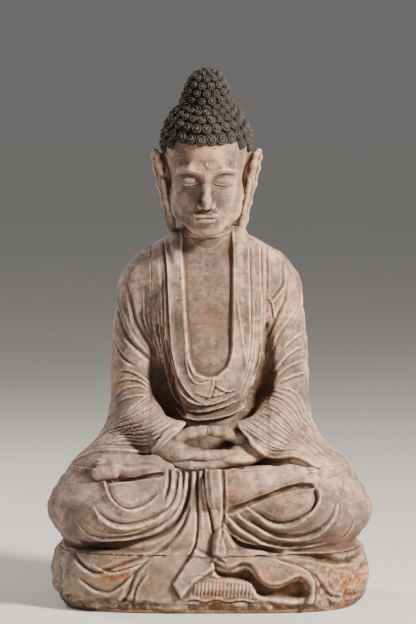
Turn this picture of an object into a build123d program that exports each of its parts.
# Seated meditating Buddha in carved stone, life-like garden size, built up from
# separately carved blocks: a rough rock seat, the crossed-leg block, the trunk,
# two arms with hanging sleeves, the joined hands, the head with its ears, the
# cranial dome, and rows of snail-shell curls bonded on the scalp. The blocks
# stand on thin mortar beds and are located by stainless dowels in drilled holes.
# Frame: millimetres, +Z up, front of the figure towards -Y, +X at the figure's
# left hand, origin in the middle of the flat underside.
from build123d import *
from math import sin, cos, radians, pi
import os

# ---------------------------------------------------------------- dimensions
BED = 2.0                 # mortar bed thickness
SEAT_TOP = 94.0           # top of the rock seat
LAP_BOT = SEAT_TOP + BED
LAP_TOP = 235.0           # flat bedding face of the leg block
BODY_BOT = LAP_TOP + BED
NECK_Z = 612.0            # top of the trunk block
HEAD_BOT = NECK_Z + BED
JOINT_X = 98.0            # shoulder joint planes
BELLY_Y = -38.0           # plane in front of which the arms leave the trunk
WRIST_X = 76.0            # wrist joint planes
FOOT_Y = -98.0            # feet stand above the lap face in front of this plane

# plan outlines, half width, front y, back y, height
SEAT = [(0, 240, -168, 158), (14, 255, -176, 170), (45, 272, -178, 178),
        (72, 270, -174, 176), (SEAT_TOP, 258, -166, 166)]
SEAT_PLAN = [(0.0, -1.0), (0.30, -1.0), (0.60, -0.96), (0.84, -0.80), (0.97, -0.45),
             (1.0, 0.0), (0.95, 0.45), (0.78, 0.80), (0.45, 0.96), (0.0, 1.0)]
LEGS = [(LAP_BOT, 248, -164, 146), (118, 265, -176, 156), (150, 273, -179, 162),
        (182, 269, -170, 164), (212, 246, -152, 164), (LAP_TOP, 210, -134, 160)]
LEGS_PLAN = [(0.0, -0.90), (0.26, -0.93), (0.56, -0.95), (0.82, -0.78), (0.965, -0.44),
             (1.0, -0.10), (0.93, 0.24), (0.76, 0.58), (0.46, 0.90), (0.0, 1.0)]
TRUNK = [(BODY_BOT, 118, -30, 152), (300, 100, -40, 147), (360, 97, -44, 141),
         (430, 108, -46, 137), (500, 126, -44, 132), (548, 131, -36, 122),
         (575, 118, -24, 110), (596, 86, -12, 94), (NECK_Z, 52, -8, 74)]
TRUNK_PLAN = [(0.0, -1.0), (0.34, -0.97), (0.66, -0.82), (0.90, -0.48), (1.0, 0.0),
              (0.92, 0.46), (0.70, 0.80), (0.38, 0.96), (0.0, 1.0)]
# upper arm and sleeve: height, centre x, centre y, half width, half depth
ARM = [(581, 104, 48, 18, 26), (566, 108, 48, 33, 44), (538, 111, 47, 42, 56),
       (490, 114, 46, 43, 57), (430, 119, 42, 43, 55), (375, 123, 34, 44, 55),
       (330, 122, 20, 45, 60), (300, 123, 2, 50, 72), (268, 130, -14, 62, 84),
       (BODY_BOT, 140, -22, 80, 88)]
FOREARM = [((116, 8, 322), 40), ((97, -52, 292), 36), ((WRIST_X, -92, 266), 29)]

HEAD_AT = (-5.0, 24.0, 636.0)   # chin level, on the skull's axis
HEAD_TILT = 18.0                # the face looks down
# head sections: height, half width, front y, back y
HEAD_ROWS = [(4, 35, -80, -14), (24, 46, -87, 14), (44, 54, -89.5, 36), (64, 60, -89.5, 54), (84, 64, -88, 69),
             (98, 67, -87, 82), (115, 70, -84, 92.5), (133, 71.7, -81.6, 97.6), (152, 71.1, -80.9, 96.9),
             (170, 66.1, -74.7, 90.7), (187, 56.6, -62.8, 78.8), (199, 45.4, -48.7, 64.7), (205, 37.1, -38.4, 54.4)]
DOME_Z = 205.0                  # the dome beds on the head here
DOME_Y = 18.0
DOME = [(DOME_Z, 35), (216, 32.5), (231, 28.5), (246, 23), (257, 17), (264, 10)]
# rings of curls on the scalp: head section they sit on, curl radius
SCALP_RINGS = [(199, 7.6), (187, 8.6), (170, 9.3), (152, 9.3), (133, 9.3), (115, 9.2), (98, 8.6), (84, 8.0)]
# rings on the dome: height, dome radius, slope of the normal, curl radius
DOME_RINGS = [(213, 33.3, 14, 7.4), (226.5, 29.9, 18, 7.2), (239.5, 25.6, 26, 6.9),
              (251.5, 20.4, 34, 6.6), (260.5, 13.6, 50, 6.0)]
HAIRLINE = [(0, 161), (40, 158), (62, 146), (80, 125), (95, 119), (108, 88), (180, 74)]
DOWEL_GAP = 0.5                 # resin round every dowel


def plan(profile, hw, yf, yb):
    """Closed plan outline from half a unit profile, front to back."""
    mid, hd = (yf + yb) / 2, (yb - yf) / 2
    right = [(u * hw, mid + v * hd) for u, v in profile]
    left = [(-x, y) for x, y in reversed(right[1:-1])]
    return right + left


def head_plane(p, normal=(0, 0, 1), x_dir=(1, 0, 0)):
    """Plane at a point of the tilted head frame."""
    t = radians(HEAD_TILT)

    def turn(v):
        return (v[0], v[1] * cos(t) - v[2] * sin(t), v[1] * sin(t) + v[2] * cos(t))

    q = turn(p)
    at = tuple(HEAD_AT[i] + q[i] for i in range(3))
    return Plane(origin=at, x_dir=turn(x_dir), z_dir=turn(normal))


def hairline(th):
    """Height of the lowest hair at an angle from the front, in the head's frame."""
    th = abs((th + 180) % 360 - 180)
    for (a0, z0), (a1, z1) in zip(HAIRLINE, HAIRLINE[1:]):
        if th <= a1:
            return z0 + (z1 - z0) * (th - a0) / (a1 - a0)
    return HAIRLINE[-1][1]


def on_head(k, th):
    """Point of head section k at an angle from the front, in the head's frame."""
    z, hw, yf, yb = HEAD_ROWS[k]
    return Vector(hw * sin(th), (yf + yb) / 2 - (yb - yf) / 2 * cos(th), z)


def scalp_curl_spots():
    """Position, outward normal and radius of each curl on the scalp, in the head's frame."""
    spots = []
    rows = [row[0] for row in HEAD_ROWS]
    for j, (z, r) in enumerate(SCALP_RINGS):
        k = rows.index(z)
        _, hw, yf, yb = HEAD_ROWS[k]
        n = round(pi * (hw + (yb - yf) / 2) / (2 * r + 0.6))
        for i in range(n):
            deg = 360 * (i + 0.5 * (j % 2)) / n
            th = radians(deg)
            along = on_head(k, th + 0.01) - on_head(k, th - 0.01)
            upward = on_head(min(k + 1, len(rows) - 1), th) - on_head(k - 1, th)
            normal = along.cross(upward).normalized()
            spot = on_head(k, th)
            at_ear = abs(spot.X) > 55 and -14 < spot.Y < 36 and z < 126
            if z > hairline(deg) + 7 and not at_ear:
                spots.append((tuple(spot), tuple(normal), r))
    return spots


def dome_curl_spots():
    spots = []
    for k, (z, rad, slope, r) in enumerate(DOME_RINGS):
        n = int(2 * pi * (rad + 2) / (2 * r + 0.4))
        for i in range(n):
            th = 2 * pi * (i + 0.5 * (k % 2)) / n
            e = radians(slope)
            spots.append(((sin(th) * rad, DOME_Y - cos(th) * rad, z),
                          (sin(th) * cos(e), -cos(th) * cos(e), sin(e)), r))
    spots.append(((0, DOME_Y, 264.6), (0, 0, 1), 6.6))
    return spots


def curl_solids(spots, lift):
    """One stepped snail-shell knob for each spot."""
    made = []
    for p, n, r in spots:
        at = tuple(p[j] + lift * n[j] for j in range(3))
        side = (0, 0, 1) if abs(n[2]) < 0.9 else (1, 0, 0)
        x_dir = tuple(Vector(*side).cross(Vector(*n)).normalized())
        with BuildPart() as knob:
            with BuildSketch(Plane.XZ):
                with BuildLine():
                    Polyline((0, 0), (r, 0), (r, 0.26 * r))
                    ThreePointArc((r, 0.26 * r), (0.9 * r, 0.50 * r), (0.68 * r, 0.60 * r))
                    Line((0.68 * r, 0.60 * r), (0.62 * r, 0.60 * r))
                    ThreePointArc((0.62 * r, 0.60 * r), (0.52 * r, 0.80 * r), (0.30 * r, 0.88 * r))
                    Polyline((0.30 * r, 0.88 * r), (0, 0.92 * r), (0, 0))
                make_face()
            revolve(axis=Axis.Z)
        made.append(knob.part.moved(head_plane(at, normal=n, x_dir=x_dir).location))
    return made


# ------------------------------------------------------------------ rock seat
with BuildPart() as rock_seat:
    for z, hw, yf, yb in SEAT:
        with BuildSketch(Plane.XY.offset(z)):
            with BuildLine():
                Spline(*plan(SEAT_PLAN, hw, yf, yb), periodic=True)
            make_face()
    loft()
    with Locations((-120, 10, SEAT_TOP), (120, 10, SEAT_TOP)):
        Hole(radius=10 + DOWEL_GAP, depth=60)

# ------------------------------------------------- crossed legs with both feet
with BuildPart() as crossed_legs:
    for z, hw, yf, yb in LEGS:
        with BuildSketch(Plane.XY.offset(z)):
            with BuildLine():
                Spline(*plan(LEGS_PLAN, hw, yf, yb), periodic=True)
            make_face()
    loft()
    # soles turned up on the thighs, toes outwards
    for s in (-1, 1):
        feet = [((s * 66, -104, 218), 20, 27), ((s * 110, -112, 226), 22, 29),
                ((s * 150, -114, 228), 24, 27), ((s * 184, -108, 226), 15, 20)]
        for (x, y, z), a, b in feet:
            with BuildSketch(Plane(origin=(x, y, z), x_dir=(0, 1, 0), z_dir=(s, 0, 0))):
                Ellipse(a, b)
        loft()
    with BuildSketch(Plane.XY.offset(LAP_TOP)):
        with Locations((0, FOOT_Y + 200)):
            Rectangle(700, 400)
        with Locations((0, FOOT_Y)):
            Rectangle(2 * WRIST_X, 400)
    extrude(amount=60, mode=Mode.SUBTRACT)
    with Locations((-48, 66, LAP_TOP), (48, 66, LAP_TOP)):
        Hole(radius=10 + DOWEL_GAP, depth=70)
    with Locations((0, -104, LAP_TOP)):
        Hole(radius=6 + DOWEL_GAP, depth=34)
    with Locations(Plane.XY.offset(LAP_BOT)):
        with Locations((-120, 10, 0), (120, 10, 0)):
            Cylinder(10 + DOWEL_GAP, 60, align=(Align.CENTER, Align.CENTER, Align.MIN), mode=Mode.SUBTRACT)

# ---------------------------------------------------------------------- trunk
with BuildPart() as trunk_whole:
    for z, hw, yf, yb in TRUNK:
        with BuildSketch(Plane.XY.offset(z)):
            with BuildLine():
                Spline(*plan(TRUNK_PLAN, hw, yf, yb), periodic=True)
            make_face()
    loft()

with BuildPart() as torso:
    add(trunk_whole.part)
    with BuildSketch(Plane.XY.offset(BODY_BOT - 5)):
        with Locations((0, BELLY_Y + 200)):
            Rectangle(2 * JOINT_X, 400)
        with Locations((0, -100)):
            Rectangle(2 * WRIST_X, 200)
    extrude(amount=400, mode=Mode.INTERSECT)
    with Locations(Plane.XY.offset(BODY_BOT)):
        with Locations((-48, 66, 0), (48, 66, 0)):
            Cylinder(10 + DOWEL_GAP, 70, align=(Align.CENTER, Align.CENTER, Align.MIN), mode=Mode.SUBTRACT)
    with Locations((-4, 34, NECK_Z)):
        Hole(radius=8 + DOWEL_GAP, depth=60)
    for s in (-1, 1):
        for y, z in ((46, 520), (44, 390)):
            with Locations(Plane(origin=(s * JOINT_X, y, z), x_dir=(0, 1, 0), z_dir=(s, 0, 0))):
                Hole(radius=7 + DOWEL_GAP, depth=44)

# ----------------------------------------------------------------------- arms
arms = {}
for side, s in (("right", -1), ("left", 1)):
    with BuildPart() as arm:
        for z, cx, cy, a, b in ARM:
            with BuildSketch(Plane.XY.offset(z)):
                with Locations((s * cx, cy)):
                    Ellipse(a, b)
        loft()
        toward = Vector(-s * 40, -100, -42).normalized()
        for (x, y, z), r in FOREARM:
            with BuildSketch(Plane(origin=(s * x, y, z), x_dir=(s, -0.4, 0), z_dir=tuple(toward))):
                Circle(r)
        loft()
        add(trunk_whole.part)
        # the trunk's own block and the hands' pocket are cut away
        with BuildSketch(Plane.XY.offset(BODY_BOT - 60)):
            with Locations((0, BELLY_Y + 300)):
                Rectangle(2 * JOINT_X, 600)
            with Locations((0, BELLY_Y - 200)):
                Rectangle(2 * WRIST_X, 400)
            with Locations((-s * 300, 0)):
                Rectangle(2 * (300 - JOINT_X) + 2 * JOINT_X, 1200)
        extrude(amount=600, mode=Mode.SUBTRACT)
        with BuildSketch(Plane.XY.offset(BODY_BOT)):
            Rectangle(800, 800)
        extrude(amount=-200, mode=Mode.SUBTRACT)
        for y, z in ((46, 520), (44, 390)):
            with Locations(Plane(origin=(s * JOINT_X, y, z), x_dir=(0, 1, 0), z_dir=(-s, 0, 0))):
                Hole(radius=7 + DOWEL_GAP, depth=34)
    arms[side] = arm

with BuildPart() as right_arm:
    add(arms["right"].part)
    add(crossed_legs.part, mode=Mode.SUBTRACT)
    with Locations(Plane(origin=(-WRIST_X, -92, 266), x_dir=(0, 1, 0), z_dir=(1, 0, 0))):
        Hole(radius=5 + DOWEL_GAP, depth=26)
with BuildPart() as left_arm:
    add(arms["left"].part)
    add(crossed_legs.part, mode=Mode.SUBTRACT)
    with Locations(Plane(origin=(WRIST_X, -92, 266), x_dir=(0, 1, 0), z_dir=(-1, 0, 0))):
        Hole(radius=5 + DOWEL_GAP, depth=26)

# ---------------------------------------------- joined hands, thumb tips touching
with BuildPart() as joined_hands:
    # stacked palms, fingers lying across each other
    for x, y, z, a, b in ((-WRIST_X, -92, 264, 25, 27), (-44, -106, 253, 36, 22), (0, -112, 249, 40, 19),
                          (44, -106, 253, 36, 22), (WRIST_X, -92, 264, 25, 27)):
        with BuildSketch(Plane(origin=(x, y, z), x_dir=(0, 1, 0), z_dir=(1, 0, 0))):
            Ellipse(a, b)
    loft()
    # thumbs rise from the palms and meet over the middle
    with BuildLine():
        Spline((-62, -86, 272), (-38, -96, 290), (0, -102, 296), (38, -96, 290), (62, -86, 272))
    with BuildSketch(Plane(origin=(-62, -86, 272), z_dir=(24, -10, 18))):
        Circle(9)
    sweep()
    with BuildSketch(Plane.XY.offset(LAP_TOP)):
        Rectangle(400, 500)
    extrude(amount=-60, mode=Mode.SUBTRACT)
    with Locations((0, -104, LAP_TOP)):
        Cylinder(6 + DOWEL_GAP, 15, align=(Align.CENTER, Align.CENTER, Align.MIN), mode=Mode.SUBTRACT)
    for s in (-1, 1):
        with Locations(Plane(origin=(s * WRIST_X, -92, 266), x_dir=(0, 1, 0), z_dir=(s, 0, 0))):
            Hole(radius=5 + DOWEL_GAP, depth=20)

# ----------------------------------------------------------- head with its ears
with BuildPart() as head:
    circle16 = [(sin(pi * i / 8), -cos(pi * i / 8)) for i in range(9)]
    for z, hw, yf, yb in HEAD_ROWS:
        with BuildSketch(head_plane((0, 0, z))):
            with BuildLine():
                Spline(*plan(circle16, hw, yf, yb), periodic=True)
            make_face()
    loft()
    # neck
    for z, hw, yf, yb in [(HEAD_BOT, 50, -10, 74), (652, 46, -14, 72), (690, 43, -18, 68), (726, 36, -12, 58)]:
        with BuildSketch(Plane.XY.offset(z)):
            with Locations((HEAD_AT[0], (yf + yb) / 2)):
                Ellipse(hw, (yb - yf) / 2)
    loft()
    # plain straight nose
    for z, w, d in [(112, 5, 6), (94, 8, 14), (76, 13, 21), (70, 12, 17)]:
        with BuildSketch(head_plane((0, -84, z))):
            Ellipse(w, d)
    loft()
    # long ears: the rim stands off the head, the lobe hangs free
    for s in (-1, 1):
        up = Vector(s * 0.21, 0, 0.978)
        back = Vector(s * 0.42, 0.91, -0.09)
        out = back.cross(up).normalized()
        with BuildSketch(head_plane((s * 75, 6, 117), normal=tuple(out), x_dir=tuple(back))):
            with BuildLine():
                Spline((-12, -6), (2, 3), (14, 0), (19, -16), (15, -46), (10, -86), (7, -122), (1, -132),
                       (-5, -124), (-7, -88), (-9, -50), (-14, -24), periodic=True)
            make_face()
        extrude(amount=6 * s, both=True)
    with Locations((-4, 34, HEAD_BOT)):
        Cylinder(8 + DOWEL_GAP, 60, align=(Align.CENTER, Align.CENTER, Align.MIN), mode=Mode.SUBTRACT)
    with Locations(head_plane((0, DOME_Y, DOME_Z))):
        Hole(radius=4 + DOWEL_GAP, depth=26)

# ------------------------------------------------------------- cranial dome
with BuildPart() as ushnisha:
    for z, r in DOME:
        with BuildSketch(head_plane((0, DOME_Y, z))):
            Circle(r)
    loft()
    with Locations(head_plane((0, DOME_Y, DOME_Z))):
        Cylinder(4 + DOWEL_GAP, 26, align=(Align.CENTER, Align.CENTER, Align.MIN), mode=Mode.SUBTRACT)

# -------------------------------------------------------- snail-shell curls
scalp_knobs = curl_solids(scalp_curl_spots(), 1.2)
dome_knobs = curl_solids(dome_curl_spots(), 0.8)
scalp_curls = Compound(children=scalp_knobs)
dome_curls = Compound(children=dome_knobs)

# ----------------------------------------------------------------- mortar beds
with BuildPart() as seat_bed:
    with BuildSketch(Plane.XY.offset(SEAT_TOP)):
        with BuildLine():
            Spline(*plan(LEGS_PLAN, 246, -150, 136), periodic=True)
        make_face()
        with Locations((-120, 10), (120, 10)):
            Circle(10 + DOWEL_GAP, mode=Mode.SUBTRACT)
    extrude(amount=BED)
with BuildPart() as waist_bed:
    with BuildSketch(Plane.XY.offset(LAP_TOP)):
        with BuildLine():
            Spline(*plan(TRUNK_PLAN, 92, -24, 140), periodic=True)
        make_face()
        with Locations((-48, 66), (48, 66)):
            Circle(10 + DOWEL_GAP, mode=Mode.SUBTRACT)
        with Locations((-155, -22), (155, -22)):
            Ellipse(48, 64)
    extrude(amount=BED)
with BuildPart() as neck_bed:
    with BuildSketch(Plane.XY.offset(NECK_Z)):
        with Locations((HEAD_AT[0], 32)):
            Ellipse(41, 34)
        with Locations((-4, 34)):
            Circle(8 + DOWEL_GAP, mode=Mode.SUBTRACT)
    extrude(amount=BED)

# --------------------------------------------------------------------- dowels
with BuildPart() as seat_dowels:
    with Locations((-120, 10, 37), (120, 10, 37)):
        Cylinder(10, 116, align=(Align.CENTER, Align.CENTER, Align.MIN))
with BuildPart() as waist_dowels:
    with Locations((-48, 66, 168), (48, 66, 168)):
        Cylinder(10, 136, align=(Align.CENTER, Align.CENTER, Align.MIN))
with BuildPart() as neck_dowel:
    with Locations((-4, 34, 555)):
        Cylinder(8, 116, align=(Align.CENTER, Align.CENTER, Align.MIN))
with BuildPart() as shoulder_dowels:
    with Locations(*[Plane(origin=(s * (JOINT_X - 5), y, z), x_dir=(0, 1, 0), z_dir=(1, 0, 0))
                     for s in (-1, 1) for y, z in ((46, 520), (44, 390))]):
        Cylinder(7, 70)
with BuildPart() as wrist_dowels:
    with Locations(*[Plane(origin=(s * (WRIST_X + 3), -92, 266), x_dir=(0, 1, 0), z_dir=(1, 0, 0)) for s in (-1, 1)]):
        Cylinder(5, 40)
with BuildPart() as hand_dowel:
    with Locations((0, -104, 203)):
        Cylinder(6, 45, align=(Align.CENTER, Align.CENTER, Align.MIN))
with BuildPart() as dome_dowel:
    with Locations(head_plane((0, DOME_Y, DOME_Z))):
        Cylinder(4, 48)

named = {
    "rock_seat": rock_seat.part, "crossed_legs": crossed_legs.part, "torso": torso.part,
    "right_arm": right_arm.part, "left_arm": left_arm.part, "joined_hands": joined_hands.part,
    "head": head.part, "ushnisha": ushnisha.part, "scalp_curls": scalp_curls, "dome_curls": dome_curls,
    "seat_bed": seat_bed.part, "waist_bed": waist_bed.part, "neck_bed": neck_bed.part,
    "seat_dowels": seat_dowels.part, "waist_dowels": waist_dowels.part, "neck_dowel": neck_dowel.part,
    "shoulder_dowels": shoulder_dowels.part, "wrist_dowels": wrist_dowels.part,
    "hand_dowel": hand_dowel.part, "dome_dowel": dome_dowel.part,
}
os.makedirs("parts", exist_ok=True)
for name, made in named.items():
    made.label = name
    export_step(made, f"parts/{name}.step")
    b = made.bounding_box()
    print(name, "solids", len(made.solids()), "volume", round(sum(x.volume for x in made.solids())),
          "x", round(b.min.X, 1), round(b.max.X, 1), "y", round(b.min.Y, 1), round(b.max.Y, 1),
          "z", round(b.min.Z, 1), round(b.max.Z, 1))
